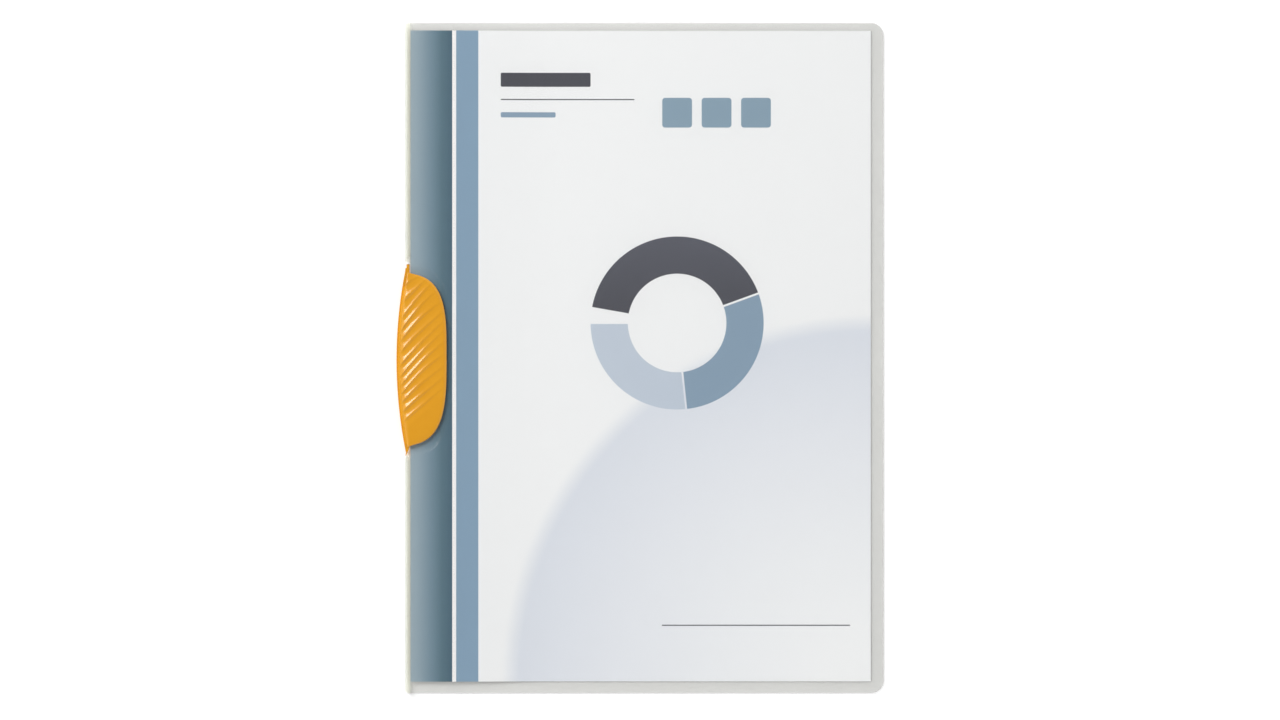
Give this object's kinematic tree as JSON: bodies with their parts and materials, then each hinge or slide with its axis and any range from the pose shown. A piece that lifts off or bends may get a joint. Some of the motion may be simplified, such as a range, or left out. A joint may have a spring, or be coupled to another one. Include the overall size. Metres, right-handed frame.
{
  "type": "clip folder",
  "caption": "Flat A4 folder of clear and translucent sheet, with a title sheet inside and a ribbed sprung clip on its spine that swings out about its upper end.",
  "frame": {"origin": "under the middle of the closed folder, on the surface that it lies on", "axes": "+Y to the top of the page, +X from the spine to the free edge, +Z out of the front cover"},
  "size_m": [0.2224, 0.306, 0.0061],
  "materials": {
    "frosted_sheet": "fine matt grain, translucent",
    "clear_sheet": "smooth, clear",
    "printed_paper": "smooth white paper with a printed title page",
    "clip_plastic": "glossy moulded, wavy ribs"
  },
  "bodies": {
    "folder": {"back_cover_and_spine": "frosted_sheet", "title_sheet": "printed_paper"},
    "front": {"front_cover": "clear_sheet"},
    "clip": {"clip": "clip_plastic"}
  },
  "joints": [
    {"name": "front_cover_hinge", "type": "hinge", "parent": "folder", "child": "front", "pos_m": [-0.08485, 0, 0.00415], "axis": [0, -1, 0], "range_deg": [0, 160]},
    {"name": "clip_pivot", "type": "hinge", "parent": "folder", "child": "clip", "pos_m": [-0.10215, 0.0359, 0.0022], "axis": [0, 0, -1], "range_deg": [0, 90]}
  ]
}
